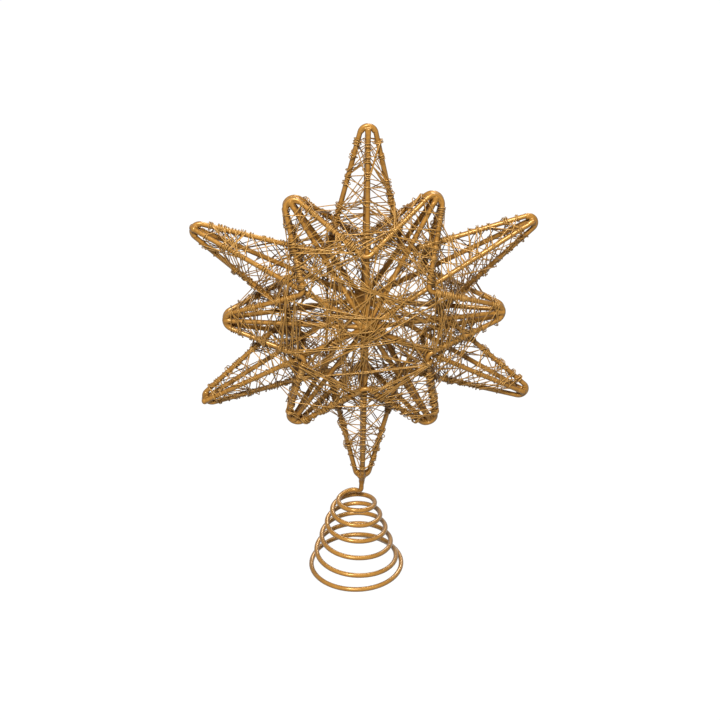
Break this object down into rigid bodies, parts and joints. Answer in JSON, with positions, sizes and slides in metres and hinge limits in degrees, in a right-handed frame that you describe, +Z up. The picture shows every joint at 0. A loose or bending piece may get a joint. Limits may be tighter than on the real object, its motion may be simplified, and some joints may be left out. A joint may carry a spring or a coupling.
{
  "type": "christmas tree topper star",
  "caption": "Gold wire star tree topper: long and short frame points wound with fine wire, on a conical spring coil that slips over the top shoot of a tree.",
  "frame": {"origin": "on the axis of the spring coil, at the surface that the coil stands on", "axes": "+Z up along the coil's axis; the star's front faces -Y; +X to the right seen from the front"},
  "size_m": [0.2424, 0.0758, 0.3505],
  "materials": {
    "frame_wire": "satin gold paint on steel wire",
    "fine_wire": "satin gold paint on fine steel wire",
    "coil_wire": "satin gold paint on spring steel wire",
    "solder": "satin gold paint over solder"
  },
  "bodies": {
    "coil_base": {"coil_lower_turns": "coil_wire"},
    "coil_middle": {"coil_middle_turns": "coil_wire"},
    "coil_top": {"coil_top_turn": "coil_wire"},
    "star": {"back_hub_pad": "solder", "back_ridge_01": "frame_wire", "back_ridge_02": "frame_wire", "back_ridge_03": "frame_wire", "back_ridge_04": "frame_wire", "back_ridge_05": "frame_wire", "back_ridge_06": "frame_wire", "back_ridge_07": "frame_wire", "back_ridge_08": "frame_wire", "back_ridge_09": "frame_wire", "back_ridge_10": "frame_wire", "back_ridge_11": "frame_wire", "back_ridge_12": "frame_wire", "front_hub_pad": "solder", "front_ridge_01": "frame_wire", "front_ridge_02": "frame_wire", "front_ridge_03": "frame_wire", "front_ridge_04": "frame_wire", "front_ridge_05": "frame_wire", "front_ridge_06": "frame_wire", "front_ridge_07": "frame_wire", "front_ridge_08": "frame_wire", "front_ridge_09": "frame_wire", "front_ridge_10": "frame_wire", "front_ridge_11": "frame_wire", "front_ridge_12": "frame_wire", "long_star_outline": "frame_wire", "middle_winding_first": "fine_wire", "middle_winding_second": "fine_wire", "point_winding_01": "fine_wire", "point_winding_02": "fine_wire", "point_winding_03": "fine_wire", "point_winding_04": "fine_wire", "point_winding_05": "fine_wire", "point_winding_06": "fine_wire", "point_winding_07": "fine_wire", "point_winding_08": "fine_wire", "point_winding_09": "fine_wire", "point_winding_10": "fine_wire", "point_winding_11": "fine_wire", "point_winding_12": "fine_wire", "short_star_outline_back": "frame_wire", "short_star_outline_front": "frame_wire", "stem": "coil_wire"}
  },
  "joints": [
    {"name": "spring_press", "type": "slide", "parent": "coil_base", "child": "coil_middle", "axis": [0, 0, -1], "range_m": [0, 0.015], "stiffness_N_per_m": 1500, "springref_m": -0.00367, "deforming": ["coil_lower_turns"]},
    {"name": "sway_side", "type": "hinge", "parent": "coil_middle", "child": "coil_top", "pos_m": [0.0078, 0, 0.0426], "axis": [0, 1, 0], "range_deg": [-10, 10], "stiffness_Nm_per_rad": 4, "deforming": ["coil_middle_turns"]},
    {"name": "sway_fore", "type": "hinge", "parent": "coil_top", "child": "star", "pos_m": [0, 0.009, 0.0575], "axis": [1, 0, 0], "range_deg": [-10, 10], "stiffness_Nm_per_rad": 4, "deforming": ["coil_top_turn"]}
  ]
}
